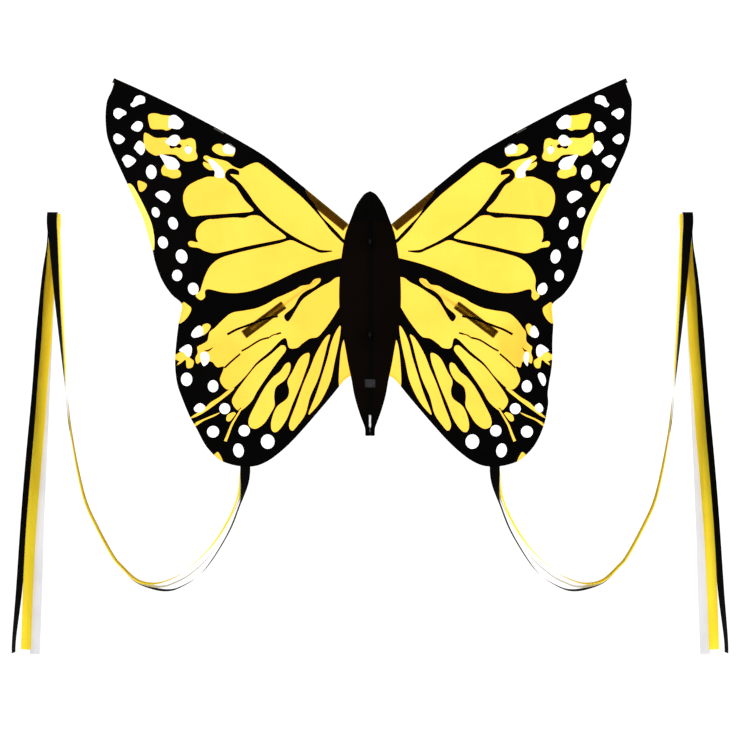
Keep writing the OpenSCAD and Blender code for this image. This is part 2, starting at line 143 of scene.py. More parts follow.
def cloth_material(colour, shade, through, rough=0.62, specular=0.3, sheen=0.0, cell=0.006,
                   patch_scale=5.0, thread=0.0004, painted_shade=()):
    """Woven cloth. colour and shade vary in soft patches, and through is the share of light from behind.

    The last argument holds soft spots of painted shade, a deeper tint: x, z, reach in x, reach in z, tint.
    """
    m = bpy.data.materials.new("material")
    n = Nodes(m)
    place = n.add("TexCoord").outputs["Object"]
    patches = n.add("TexNoise", Vector=place, Scale=patch_scale, Detail=3.0, Roughness=0.55).outputs[0]
    tint = n.mix(n.ramp(patches, 0.38, 0.66), colour, shade)
    axes = n.add("SeparateXYZ", i0=place).outputs
    # painted shade: each soft spot mixes the tint towards a deeper orange
    for x, z, reach_x, reach_z, shade_tint in painted_shade:
        dx = n.math("MULTIPLY", n.math("ADD", axes[0], -x), 1 / reach_x)
        dz = n.math("MULTIPLY", n.math("ADD", axes[2], -z), 1 / reach_z)
        far = n.math("ADD", n.math("MULTIPLY", dx, dx), n.math("MULTIPLY", dz, dz))
        tint = n.mix(n.ramp(far, 1.0, 0.2), tint, shade_tint)
    warp = n.math("PINGPONG", axes[0], cell)
    weft = n.math("PINGPONG", axes[2], cell)
    rib = n.math("MINIMUM", warp, weft)
    rib_mask = n.ramp(rib, thread * 1.4, thread * 0.4)
    weave = n.math("MULTIPLY", n.math("SINE", n.math("MULTIPLY", axes[0], math.pi / thread)),
                   n.math("SINE", n.math("MULTIPLY", axes[2], math.pi / thread)))
    height = n.math("ADD", n.math("MULTIPLY", weave, 0.25), rib_mask)
    crinkle = n.add("TexNoise", Vector=place, Scale=70.0, Detail=4.0, Roughness=0.6).outputs[0]
    height = n.math("ADD", height, n.math("MULTIPLY", crinkle, 1.6))
    bump = n.add("Bump", Strength=0.35, Distance=0.0004, Height=height).outputs[0]
    dim = n.math("MULTIPLY", rib_mask, 0.05)
    tint = n.mix(dim, tint, tuple(c * 0.55 for c in shade))
    roughness = n.math("ADD", n.math("MULTIPLY", crinkle, 0.18), rough - 0.09)
    front = n.add("BsdfPrincipled", Base_Color=tint, Roughness=roughness, Normal=bump)
    front.inputs["Specular IOR Level"].default_value = specular
    front.inputs["Sheen Weight"].default_value = sheen
    surface = front.outputs[0]
    if through > 0:
        glow = n.add("BsdfTranslucent", Color=tint, Normal=bump).outputs[0]
        surface = n.add("MixShader", i0=through, i1=surface, i2=glow).outputs[0]
    n.add("OutputMaterial", Surface=surface)
    return m


def solid_material(colour, shade, rough, metallic=0.0, specular=0.5, grain=(300, 300, 300), bump=0.15,
                   through=0.0):
    """Plastic, rubber, fibreglass or metal, with a grain stretched along one axis or even in all."""
    m = bpy.data.materials.new("material")
    n = Nodes(m)
    place = n.add("TexCoord").outputs["Object"]
    stretched = n.add("Mapping", Vector=place)
    stretched.inputs["Scale"].default_value = grain
    texture = n.add("TexNoise", Vector=stretched.outputs[0], Scale=1.0, Detail=4.0, Roughness=0.6).outputs[0]
    tint = n.mix(n.ramp(texture, 0.35, 0.7), colour, shade)
    roughness = n.math("ADD", n.math("MULTIPLY", texture, 0.2), rough - 0.1)
    relief = n.add("Bump", Strength=bump, Distance=0.0003, Height=texture).outputs[0]
    shader = n.add("BsdfPrincipled", Base_Color=tint, Roughness=roughness, Normal=relief)
    shader.inputs["Metallic"].default_value = metallic
    shader.inputs["Specular IOR Level"].default_value = specular
    surface = shader.outputs[0]
    if through > 0:
        glow = n.add("BsdfTranslucent", Color=tint, Normal=relief).outputs[0]
        surface = n.add("MixShader", i0=through, i1=surface, i2=glow).outputs[0]
    n.add("OutputMaterial", Surface=surface)
    return m


MATERIAL = {
    "print_black": cloth_material((0.0008, 0.0006, 0.0006), (0.0014, 0.0011, 0.001), 0.0,
                                  rough=0.6, specular=0.012),
    # painted shade: the yellow print gets three soft spots of deeper orange, on the curled right wing only
    "print_yellow": cloth_material((0.99, 0.645, 0.078), (1.0, 0.59, 0.064), 0.985, specular=0.05,
                                   painted_shade=[(0.356, -0.25, 0.05, 0.065, (1.0, 0.53, 0.055)),
                                         (0.458, -0.178, 0.03, 0.04, (1.0, 0.56, 0.05)),
                                         (0.52, 0.30, 0.05, 0.03, (1.0, 0.62, 0.06))]),
    # painted highlight: the pale yellow of the outer margin stands for light bleaching the edge of the yellow
    # print
    "yellow_print_painted_highlight": cloth_material((1.0, 0.86, 0.2), (1.0, 0.82, 0.16), 0.985, specular=0.05),
    # painted highlight: the hem over yellow print is lightened to near white against the shade its curved
    # cloth gets
    "hem_yellow_painted_highlight": cloth_material((0.99, 0.985, 0.86), (0.99, 0.98, 0.8), 0.95, specular=0.05),
    "print_white": cloth_material((0.99, 0.98, 0.99), (0.95, 0.95, 0.97), 0.9, specular=0.3),
    "body_black": cloth_material((0.0016, 0.0008, 0.0003), (0.0026, 0.0012, 0.0006), 0.0,
                                 rough=0.65, specular=0.015),
    "patch_black": cloth_material((0.0008, 0.0007, 0.0006), (0.0014, 0.0012, 0.001), 0.0,
                                  rough=0.65, specular=0.012, cell=0.004),
    "tape": cloth_material((0.045, 0.024, 0.014), (0.030, 0.017, 0.010), 0.06, rough=0.7,
                           specular=0.03, cell=0.003, patch_scale=30.0),
    "pocket_tape": cloth_material((0.016, 0.008, 0.005), (0.010, 0.005, 0.003), 0.0, rough=0.7,
                                  specular=0.02, cell=0.003, patch_scale=30.0),
    "webbing": cloth_material((0.0025, 0.002, 0.002), (0.004, 0.0035, 0.003), 0.0, rough=0.75,
                              specular=0.03, cell=0.0016, thread=0.0005),
    "label": cloth_material((0.022, 0.022, 0.024), (0.012, 0.012, 0.013), 0.0, rough=0.6,
                            specular=0.05, sheen=0.1, cell=0.0012, patch_scale=60.0),
    "thread": solid_material((0.012, 0.011, 0.011), (0.03, 0.028, 0.028), 0.6, grain=(900, 900, 900)),
    "ribbon_black": cloth_material((0.001, 0.001, 0.001), (0.0018, 0.0018, 0.0018), 0.0, rough=0.6,
                                   specular=0.015, cell=0.004),
    "ribbon_yellow": cloth_material((0.98, 0.76, 0.035), (0.96, 0.70, 0.028), 0.9, rough=0.45,
                                    specular=0.3, cell=0.004, patch_scale=9.0),
    "ribbon_white": cloth_material((0.66, 0.655, 0.69), (0.60, 0.595, 0.63), 0.5, rough=0.45,
                                   specular=0.3, cell=0.004, patch_scale=9.0),
    "pale_rod": solid_material((0.93, 0.94, 0.95), (0.85, 0.86, 0.87), 0.35, through=0.8,
                               grain=(1500, 1500, 25)),
    "dark_rod": solid_material((0.03, 0.032, 0.034), (0.06, 0.062, 0.066), 0.32,
                               grain=(1200, 1200, 30)),
    "hub": solid_material((0.012, 0.012, 0.012), (0.024, 0.024, 0.024), 0.5, grain=(700, 700, 700)),
    "vinyl": solid_material((0.018, 0.018, 0.018), (0.03, 0.03, 0.03), 0.35, grain=(120, 120, 120)),
    "ferrule": solid_material((0.12, 0.12, 0.10), (0.08, 0.08, 0.07), 0.5, metallic=1.0,
                              grain=(1500, 1500, 60)),
    "eyelet": solid_material((0.006, 0.006, 0.006), (0.012, 0.012, 0.012), 0.4, specular=0.2,
                             grain=(500, 500, 500), bump=0.08),
    "floor": solid_material((0.86, 0.86, 0.86), (0.82, 0.82, 0.82), 0.8, grain=(3, 3, 3), bump=0.02),
}
for name, material in MATERIAL.items():
    material.name = name

# ---- curves shared with the CAD


def heading(angle):
    return np.array((math.cos(math.radians(angle)), math.sin(math.radians(angle))))


def outward(angle):
    return np.array((-math.sin(math.radians(angle)), math.cos(math.radians(angle))))


EDGE_START = np.array((0.0, 1.2))
EDGE_HEADING = (39.4, 30.5, 23.3)
EDGE_LEN = (291.0, 80.0, 386.0)
EDGE_S = (0.0, 291.0, 371.0, 757.0)
TIGHT_R = EDGE_LEN[1] / math.radians(EDGE_HEADING[0] - EDGE_HEADING[1])
GENTLE_R = EDGE_LEN[2] / math.radians(EDGE_HEADING[1] - EDGE_HEADING[2])
BEND_START = EDGE_START + EDGE_LEN[0] * heading(EDGE_HEADING[0])
TIGHT_CENTRE = BEND_START - TIGHT_R * outward(EDGE_HEADING[0])
GENTLE_CENTRE = TIGHT_CENTRE + (TIGHT_R - GENTLE_R) * outward(EDGE_HEADING[1])
HIND_START = np.array((0.0, 5.4))
HIND_HEADING = -37.0

BODY_Y, SAIL_Y, TAPE_Y, ROD_Y = 12.0, 12.6, 13.2, 16.1
CHANNEL_R = 2.9
ROD_IN = -3.5


def edge_heading(s):
    if s <= EDGE_S[1]:
        return EDGE_HEADING[0]
    if s <= EDGE_S[2]:
        return EDGE_HEADING[0] - math.degrees((s - EDGE_S[1]) / TIGHT_R)
    return EDGE_HEADING[1] - math.degrees((s - EDGE_S[2]) / GENTLE_R)


def edge_point(s, off=0.0):
    """Point on the leading edge at distance s from the spine, moved outward by off."""
    a = edge_heading(s)
    if s <= EDGE_S[1]:
        return EDGE_START + s * heading(a) + off * outward(a)
    if s <= EDGE_S[2]:
        return TIGHT_CENTRE + (TIGHT_R + off) * outward(a)
    return GENTLE_CENTRE + (GENTLE_R + off) * outward(a)


def hind_point(s, off=0.0):
    return HIND_START + s * heading(HIND_HEADING) + off * outward(HIND_HEADING)


def smooth(points, steps, closed=False):
    """A smooth curve through the points, with that many steps between two neighbours."""
    p = np.array(points, float)
    n = len(p)
    curve = []
    for i in range(n if closed else n - 1):
        if closed:
            a, b, c, d = p[i - 1], p[i], p[(i + 1) % n], p[(i + 2) % n]
        else:
            a, b, c, d = p[max(i - 1, 0)], p[i], p[i + 1], p[min(i + 2, n - 1)]
        for j in range(steps):
            t = j / steps
            curve.append(0.5 * (2 * b + (c - a) * t + (2 * a - 5 * b + 4 * c - d) * t * t
                                + (3 * b - a - 3 * c + d) * t ** 3))
    if not closed:
        curve.append(p[-1])
    return np.array(curve)


BODY_SIDE = [
    (0, 126), (11, 121), (20, 112), (35, 89), (46, 61), (55, 38), (62, 16), (68, -18),
    (73, -55), (76, -100), (76.5, -150), (73, -200), (62, -257), (54, -303), (46, -340),
    (39, -379), (27, -421), (14, -456), (12, -466), (12, -480),
]
WING_MARGIN = [
    (632, 400), (640, 374), (651, 349), (654.5, 312), (651, 266), (640, 231), (620, 186),
    (600, 143), (579, 97), (560, 55), (547, 10), (538, -20), (530, -55), (514, -96),
    (491, -130), (466, -153), (468, -179), (474, -207), (480, -260), (482, -305),
    (477, -350), (464, -388), (446, -431), (430, -460), (409, -500), (390, -523),
    (369, -541), (340, -552), (312, -556), (285, -555), (262, -547), (236, -531),
    (200, -500), (160, -457), (100, -387), (64, -343), (46, -331),
]
SEAM_W = 8.0
SAIL_FROM = 68.0

body_curve = smooth(BODY_SIDE, 5)
margin_curve = smooth(WING_MARGIN, 4)
leading_curve = np.array([edge_point(SAIL_FROM + (EDGE_S[3] - SAIL_FROM) * i / 60) for i in range(61)])
under_body = np.array([(x - SEAM_W, z) for x, z in body_curve if -326 < z < 42])
wing_outline = np.concatenate([under_body, margin_curve[::-1], leading_curve[::-1]])

# ---- the print: yellow first, then the drawn lines, the black and white patches, and the spots

YELLOW, BLACK, WHITE, PALE = "print_yellow", "print_black", "print_white", "yellow_print_painted_highlight"
PRINT = [
    # forewing cells
    (YELLOW, [(575, 149), (566, 150), (553, 143), (554, 134), (563, 125), (571, 127)]),
    (YELLOW, [(549, 313), (541, 318), (528, 318), (513, 314), (491, 311), (488, 296), (491, 282),
              (503, 276), (514, 279), (540, 280), (547, 294)]),
    (YELLOW, [(559, 268), (550, 268), (535, 259), (523, 257), (508, 258), (494, 256), (470, 253),
              (458, 253), (445, 257), (434, 252), (431, 236), (431, 224), (427, 212), (432, 203),
              (454, 199), (469, 206), (481, 215), (500, 217), (520, 215), (532, 214), (550, 225),
              (559, 242)]),
    (YELLOW, [(507, 192), (516, 180), (513, 166), (501, 162), (487, 157), (470, 161), (469, 173),
              (485, 186), (495, 190)]),
    (YELLOW, [(391, 231), (385, 240), (372, 243), (361, 238), (350, 244), (338, 237), (334, 226),
              (339, 213), (354, 213), (369, 214), (385, 222)]),
    (YELLOW, [(412, 207), (406, 214), (391, 208), (376, 205), (354, 199), (338, 187), (320, 181),
              (306, 188), (292, 194), (276, 196), (254, 181), (220, 153), (200, 139), (160, 102),
              (123, 61), (100, 31), (80, 10), (66, -3), (50, -12), (66, -20), (118, -20), (140, -12),
              (169, 2), (213, 29), (257, 65), (285, 96), (300, 118), (322, 146), (345, 166),
              (336, 167), (324, 166), (326, 177), (341, 179), (356, 171), (361, 158), (384, 159),
              (384, 176), (398, 178), (411, 188), (412, 198), (398, 194)]),
    (YELLOW, [(400, 161), (372, 160), (360, 160), (345, 147), (332, 137), (310, 103), (290, 82),
              (293, 75), (317, 72), (376, 68), (420, 65), (441, 63), (453, 74), (461, 96), (461, 118),
              (451, 137), (432, 149), (415, 156)]),
    (YELLOW, [(400, 55), (416, 47), (428, 32), (430, 12), (426, -1), (443, 2), (450, -3), (444, -12),
              (424, -15), (407, -23), (384, -28), (355, -23), (300, -10), (260, -2), (221, 6), (208, 11),
              (218, 22), (248, 44), (272, 63), (294, 65), (311, 59), (340, 60), (384, 56)]),
    (YELLOW, [(50, -12), (66, -18), (117, -27), (140, -20), (171, -6), (196, 4), (225, -4), (280, -16),
              (331, -28), (369, -40), (393, -58), (406, -80), (415, -105), (420, -121), (429, -128),
              (430, -136), (418, -144), (408, -136), (408, -122), (398, -117), (362, -125), (323, -126),
              (280, -117), (235, -99), (180, -73), (120, -52), (65, -38), (50, -34)]),
    # between the leading edge tape and the first vein, near the body
    (YELLOW, [(65, 7), (80, 23), (100, 43.6), (118, 62), (130, 80), (140, 97), (152, 111), (160, 128),
              (146, 146), (100, 118), (50, 70), (38, 20), (50, 2)]),
    # outer margin between the wings: yellow print lightened to pale yellow, a painted highlight where light
    # bleaches the edge
    (PALE, [(602, 144), (588, 140), (572, 114), (553, 76), (540, 45), (534, 15), (533, -4),
            (536, -24), (552, -20), (566, 20), (590, 70), (616, 130)]),
    # hind wing cells
    (YELLOW, [(124, -90), (138, -93), (150, -105), (170, -109), (187, -119), (213, -131), (234, -140),
              (253, -152), (281, -164), (310, -170), (342, -176), (364, -193), (383, -212), (397, -224),
              (402, -244), (415, -253), (427, -260), (426, -274), (432, -288), (428, -301), (418, -297),
              (412, -307), (402, -297), (390, -297), (378, -310), (362, -308), (364, -320), (371, -340),
              (364, -356), (352, -365), (336, -360), (306, -330), (281, -299), (247, -270), (219, -242),
              (207, -240), (200, -262), (180, -262), (168, -252), (149, -239), (130, -235), (114, -218),
              (93, -189), (74, -158), (60, -140), (60, -92), (72, -87), (85, -89), (100, -100),
              (120, -110), (149, -129), (167, -143), (181, -164), (200, -195), (210, -192), (211, -180),
              (189, -160), (175, -136), (158, -121), (139, -112), (124, -99)]),
    (YELLOW, [(219, -256), (210, -258), (209, -270), (228, -295), (253, -331), (278, -368), (292, -393),
              (314, -414), (328, -416), (341, -396), (334, -376), (311, -343), (281, -306), (251, -283),
              (226, -261)]),
    (YELLOW, [(198, -300), (209, -302), (223, -321), (240, -335), (260, -360), (282, -400), (299, -436),
              (298, -456), (282, -462), (261, -448), (244, -421), (236, -404), (237, -381), (232, -359),
              (210, -341), (198, -318)]),
    (YELLOW, [(150, -276), (163, -278), (177, -292), (192, -322), (204, -345), (200, -368), (206, -388),
              (231, -409), (244, -444), (242, -467), (228, -468), (207, -440), (192, -402), (172, -354),
              (158, -315), (152, -297)]),
    (YELLOW, [(99, -230), (112, -239), (134, -277), (148, -312), (165, -352), (184, -405), (200, -450),
              (193, -467), (180, -455), (160, -426), (148, -383), (129, -340), (117, -300), (106, -256)]),
    (YELLOW, [(73, -208), (84, -221), (96, -250), (105, -286), (117, -325), (133, -375), (152, -424),
              (143, -420), (120, -391), (98, -344), (87, -294), (76, -242)]),
    (YELLOW, [(46, -236), (62, -238), (71, -262), (76, -311), (77, -352), (70, -366), (36, -340)]),
    (YELLOW, [(336, -361), (352, -368), (371, -383), (394, -397), (409, -411), (446, -436), (427, -431),
              (403, -417), (365, -389), (342, -370)]),
    (YELLOW, [(371, -422), (390, -429), (416, -440), (434, -449), (432, -456), (410, -442), (384, -431)]),
    (YELLOW, [(331, -426), (337, -421), (352, -428), (355, -441), (346, -443), (333, -427)]),
    (YELLOW, [(415, -208), (402, -202), (394, -210), (405, -226), (416, -230)]),
    (YELLOW, [(486, -281), (464, -271), (448, -266), (442, -278), (446, -286), (436, -295), (440, -310),
              (453, -311), (456, -292), (468, -300), (488, -312), (472, -297), (476, -294), (490, -293)]),
    (YELLOW, [(466, -150), (450, -156), (442, -166), (449, -183), (463, -198), (480, -204), (486, -180)]),
    (YELLOW, [(390, -535), (378, -520), (371, -527), (364, -545), (376, -552)]),
    # wedge beside the tape
    (YELLOW, [(57, 14), (62, 22), (70, 31), (79, 41), (75, 32), (66, 19), (61, 9)]),
    # black fleck over a hind cell
    (BLACK, [(410, -269), (399, -271), (387, -260), (399, -266)]),
    # white spots of the forewing, from the tip
    (WHITE, [(593, 340), (586, 334), (571, 341), (558, 345), (558, 358), (565, 363), (580, 360),
             (587, 347)]),
    (WHITE, [(633, 326), (622, 331), (605, 323), (604, 316), (612, 312), (623, 304), (634, 313)]),
    (WHITE, [(590, 286), (578, 298), (565, 296), (563, 284), (573, 273), (588, 278)]),
    (WHITE, [(634, 261), (625, 268), (607, 256), (613, 245), (625, 242), (633, 250)]),
    (WHITE, [(583, 235), (572, 250), (559, 242), (557, 227), (566, 215), (581, 228)]),
    (WHITE, [(613, 206), (601, 215), (582, 206), (581, 197), (600, 184), (611, 199)]),
    (WHITE, [(531, 116), (519, 126), (503, 124), (494, 112), (503, 97), (517, 103)]),
    (WHITE, [(496, 311), (482, 314), (468, 303), (462, 292), (472, 280), (488, 281), (498, 284),
             (499, 298)]),
    (WHITE, [(506, 248), (491, 263), (477, 264), (470, 252), (484, 236), (497, 240)]),
    (BLACK, [(480, 238), (473, 243), (466, 238), (471, 232), (480, 234), (488, 231), (495, 233), (496, 239),
             (489, 238)]),
    (BLACK, [(452, 240), (448, 236), (453, 234)]),
    (WHITE, [(459, 229), (450, 237), (440, 229), (449, 217)]),
    (WHITE, [(520, 216), (511, 199), (500, 181), (478, 180), (471, 191), (482, 206), (500, 212)]),
    (WHITE, [(364, 236), (350, 244), (338, 237), (334, 228), (341, 218), (360, 221)]),
    (WHITE, [(400, 203), (388, 202), (366, 181), (361, 170), (364, 159), (382, 161), (384, 174),
             (392, 186)]),
    (WHITE, [(442, -229), (434, -215), (421, -207), (413, -216), (415, -231), (435, -237)]),
    (WHITE, [(472, -268), (452, -254), (441, -260), (442, -277), (450, -285), (461, -274)]),
    (WHITE, [(418, -275), (404, -273), (397, -284), (400, -299), (412, -307), (419, -290)]),
    (WHITE, [(435, -410), (421, -399), (407, -408), (416, -421), (431, -420)]),
]
# Round white spots: centre, half width, half height, tilt
SPOTS = [
    (466, -36, 14, 17.5, -20), (437, -116, 13, 15, -15), (477, -83, 12.5, 14, 0), (512, -1.5, 12, 15, -15),
    (487, 46, 11.5, 15.5, -20), (530, 73, 9.5, 13, -20), (541, 173, 13, 17.5, -5),
    (453.5, -340, 14, 16.5, 0), (388, -357, 13, 15, 0), (359, -412.5, 13.5, 13.5, 0),
    (388, -469.5, 15, 14.5, -20), (311, -467, 14, 14, 0), (325.5, -516, 13, 17.5, -8), (253, -494, 17, 18, 0),
]
# Drawn lines: colour, width at each end, points
STROKES = [
    (BLACK, 7, 10, [(327, 170), (333, 176), (344, 178), (353, 171), (353, 160), (341, 149)]),
    (YELLOW, 3.5, 7, [(320, -416), (331, -434), (342, -453), (352, -479), (358, -493)]),
    (YELLOW, 9, 7, [(54, -17), (74, -20), (94, -22)]),
    (BLACK, 5, 4.5, [(360, -312), (342, -295), (321, -277)]),
    (BLACK, 4.5, 4.5, [(318, -270), (303, -262), (281, -248), (267, -241), (250, -237)]),
    (BLACK, 3, 3, [(250, -237), (241, -231), (231, -228)]),
    (BLACK, 4.5, 4.5, [(231, -228), (220, -225)]),
    (BLACK, 6, 5, [(353, -229), (331, -217), (310, -209), (284, -199), (262, -191), (240, -186),
                   (228, -184)]),
    (BLACK, 2.5, 2, [(318, -410), (330, -420)]),
]


def stroke_outline(w0, w1, points):
    line = smooth(points, 4)
    along = np.gradient(line, axis=0)
    along /= np.linalg.norm(along, axis=1)[:, None]
    normal = np.stack([-along[:, 1], along[:, 0]], 1)
    half = np.linspace(w0, w1, len(line))[:, None] / 2
    return np.concatenate([line + normal * half, (line - normal * half)[::-1]])


def spot_outline(x, z, wide, high, tilt):
    turn = np.linspace(0, 2 * math.pi, 25)[:-1]
    across, up = wide * np.cos(turn), high * np.sin(turn)
    c, t = heading(tilt)
    return np.stack([x + across * c - up * t, z + across * t + up * c], 1)


regions = [(colour, smooth(points, 5, closed=True)) for colour, points in PRINT if colour in (YELLOW, PALE)]
regions += [(colour, stroke_outline(w0, w1, points)) for colour, w0, w1, points in STROKES]
regions += [(colour, smooth(points, 5, closed=True)) for colour, points in PRINT if colour in (BLACK, WHITE)]
regions += [(WHITE, spot_outline(*spot)) for spot in SPOTS]

# ---- mesh helpers


def inside(polygon, points):
    """Which of the points lie inside the polygon."""
    hit = np.zeros(len(points), bool)
    a, b = polygon, np.roll(polygon, -1, axis=0)
    for (x0, z0), (x1, z1) in zip(a, b):
        if z0 == z1:
            continue
        crosses = (z0 > points[:, 1]) != (z1 > points[:, 1])
        hit ^= crosses & (points[:, 0] < (x1 - x0) * (points[:, 1] - z0) / (z1 - z0) + x0)
    return hit


def distance(points, line):
    """Distance from each point to a polyline."""
    best = np.full(len(points), 1e9)
    for a, b in zip(line[:-1], line[1:]):
        d = b - a
        t = np.clip(((points - a) @ d) / max(d @ d, 1e-9), 0, 1)
        best = np.minimum(best, np.linalg.norm(points - a - t[:, None] * d, axis=1))
    return best


def ease(x, low, high):
    t = np.clip((x - low) / (high - low), 0, 1)
    return t * t * (3 - 2 * t)


def noise_at(points, scale, seed):
    return np.array([noise.noise(Vector((x * scale, z * scale, seed))) for x, z in points])


def make_object(name, verts, faces, materials, indices=None, flat=False):
    mesh = bpy.data.meshes.new(name)
    mesh.from_pydata([tuple(v) for v in verts], [], [tuple(int(i) for i in f) for f in faces])
    for m in materials:
        mesh.materials.append(MATERIAL[m])
    if indices is not None:
        mesh.polygons.foreach_set("material_index", indices)
    mesh.polygons.foreach_set("use_smooth", [not flat] * len(mesh.polygons))
    mesh.update()
    o = bpy.data.objects.new(name, mesh)
    bpy.context.scene.collection.objects.link(o)
    return o


def resample(line, step):
    """Points along a line at about that distance."""
    line = np.array(line, float)
    run = np.concatenate([[0], np.cumsum(np.linalg.norm(np.diff(line, axis=0), axis=1))])
    s = np.linspace(0, run[-1], max(2, int(run[-1] / step) + 1))
    return np.stack([np.interp(s, run, line[:, i]) for i in range(line.shape[1])], 1)


def resample_loop(outline, step):
    return resample(np.vstack([outline, outline[:1]]), step)[:-1]


def flat_cloth(outline, holes=(), lines=(), grid=10.0, columns=None):
    """Triangles that fill an outline, with the given loops as edges: points and triples of them.

    columns puts the points in straight upright rows, so that the cloth folds cleanly along them.
    """
    loops = [outline, *holes, *lines]
    coords, edges = [], []
    for loop in loops:
        first = len(coords)
        coords += [Vector(p) for p in loop]
        edges += [(first + i, first + (i + 1) % len(loop)) for i in range(len(loop))]
    lo, hi = outline.min(0), outline.max(0)
    xs = np.arange(lo[0] + grid / 2, hi[0], grid)
    zs = np.arange(lo[1] + grid / 2, hi[1], grid * 0.87)
    if columns is None:
        points = np.array([(x + (j % 2) * grid / 2, z) for j, z in enumerate(zs) for x in xs])
    else:
        points = np.array([(x, z) for z in zs for x in columns])
    points = points[inside(outline, points)]
    clear = distance(points, np.vstack([outline, outline[:1]])) > grid * 0.35
    for loop in (*holes, *lines):
        near = (np.abs(points - loop.mean(0)) < (loop.max(0) - loop.min(0)) / 2 + grid).all(1)
        if near.any():
            index = np.flatnonzero(near)
            clear[index] &= distance(points[index], np.vstack([loop, loop[:1]])) > grid * 0.3
    coords += [Vector(p) for p in points[clear]]
    verts, _, faces, *_ = delaunay_2d_cdt(coords, edges, [], 0, 1e-4, False)
    verts = np.array([tuple(v) for v in verts])
    faces = np.array([f for f in faces if len(f) == 3])
    centres = verts[faces].mean(1)
    keep = inside(outline, centres)
    for hole in holes:
        keep &= ~inside(hole, centres)
    faces, centres = faces[keep], centres[keep]
    used = np.unique(faces)
    renumber = np.zeros(len(verts), int)
    renumber[used] = np.arange(len(used))
    return verts[used], renumber[faces], centres


# The right wing's outer edge hangs in and back: height, how far in, and where that begins
CURL = [
    (-480, 0, 400), (-434, 22, 400), (-400, 31, 405), (-377, 36, 400), (-345, 33, 385), (-300, 30, 345),
    (-245, 26, 347), (-197, 18, 350), (-150, 13, 350), (-113, 11, 350), (-80, 10, 400), (0, 9, 400),
    (190, 5, 400), (310, 7, 400), (400, 0, 400),
]
CURL_BACK = 0.7
curl_rows = smooth(CURL, 6)


def place(points, depth, side):
    """Row-frame points, in metres, for kite-plane points in millimetres."""
    amount, start = (np.interp(points[:, 1], curl_rows[:, 0], curl_rows[:, i]) for i in (1, 2))
    inward = amount * ease(points[:, 0], start, start + 100)
    if side < 0 or not inward.any():
        inward = inward * 0
    else:
        inward = inward * ease(distance(points, leading_curve), 25, 90)
    return np.stack([(points[:, 0] - inward) * side, depth + CURL_BACK * inward, points[:, 1]], 1) * MM


def turned(faces, side):
    """Faces seen from the front, kept that way on the mirrored side."""
    return faces if side > 0 else faces[:, ::-1]


def sweep(name, rings, material, closed_ring=False, caps=False, indices=None):
    """A surface through a list of rings of points, in metres."""
    rings = np.array(rings, float)
    n, m = rings.shape[:2]
    faces = []
    for i in range(n - 1):
        for j in range(m if closed_ring else m - 1):
            k = (j + 1) % m
            faces.append((i * m + j, i * m + k, (i + 1) * m + k, (i + 1) * m + j))
    if caps:
        faces.append(tuple(range(m - 1, -1, -1)))
        faces.append(tuple((n - 1) * m + j for j in range(m)))
    materials = material if isinstance(material, list) else [material]
    return make_object(name, rings.reshape(-1, 3), faces, materials, indices)


def stitches(name, lines, parent, pitch=3.4, length=2.3, thick=0.35):
    """Rows of thread along lines of row-frame points in millimetres, lying on the cloth."""
    verts, faces = [], []
    for line in lines:
        line = np.array(line, float)
        steps = np.linalg.norm(np.diff(line, axis=0), axis=1)
        run = np.concatenate([[0], np.cumsum(steps)])
        for s in np.arange(pitch / 2, run[-1] - pitch / 2, pitch):
            mid, end, start = (np.array([np.interp(s + d, run, line[:, i]) for i in range(3)])
                               for d in (0, length / 2, -length / 2))
            along = end - start
            along /= np.linalg.norm(along)
            side = np.cross(along, (0, 1, 0))
            up = np.cross(side, along)
            base = len(verts)
            verts += [start, end]
            verts += [mid + thick * v for v in (side, up, -side, -up)]
            for j in range(4):
                k = (j + 1) % 4
                faces += [(base, base + 2 + j, base + 2 + k), (base + 1, base + 2 + k, base + 2 + j)]
    o = make_object(name, np.array(verts) * MM, faces, ["thread"])
    o.parent = parent
    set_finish(o, parent.get("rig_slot", "sleeve_tape"))
    return o


# ---- wings

# Soft creases of the sail: both ends and how wide
CREASES = [
    (242, 150, 238, 55, 9), (268, -18, 264, -122, 7), (330, 180, 300, 90, 8), (150, 60, 128, -20, 7),
    (205, -190, 150, -232, 6), (252, -300, 300, -352, 6), (330, -300, 386, -262, 7),
    (400, 140, 418, 72, 8), (180, -330, 196, -400, 6), (356, 50, 340, -20, 8),
]


def sail_depth(points):
    """How far back each point of a wing lies: pressed forward between the seams, with soft creases."""
    from_edge = distance(points, leading_curve)
    from_body = distance(points, under_body)
    pocket = np.array([hind_point(262), hind_point(396)])
    from_pocket = distance(points, pocket)
    from_tail = np.linalg.norm(points - (309, -548), axis=1)
    belly = ease(np.minimum(from_edge, from_body), 24, 150)
    belly = belly * ease(from_pocket, 13, 50) * ease(from_tail, 14, 90)
    swell = 7.0 + 3.0 * noise_at(points, 1 / 160, 3.1)
    ripple = noise_at(points, 1 / 55, 7.7) * 2.2 + noise_at(points, 1 / 22, 1.3) * 0.5
    crease = np.zeros(len(points))
    for x0, z0, x1, z1, reach in CREASES:
        d = distance(points, np.array([(x0, z0), (x1, z1)], float))
        crease += np.exp(-((d / reach) ** 2))
    return SAIL_Y + 0.3 - belly * (swell + ripple + 1.6 * crease)


sail_2d, sail_faces, sail_centres = flat_cloth(
    wing_outline,
    holes=[np.array([edge_point(s, -5.2) for s in np.linspace(452, 480, 9)]
                    + [edge_point(s, -2.0) for s in np.linspace(480, 452, 9)])],
    lines=[r for _, r in regions], grid=9.0)
COLOURS = [BLACK, YELLOW, WHITE, PALE]


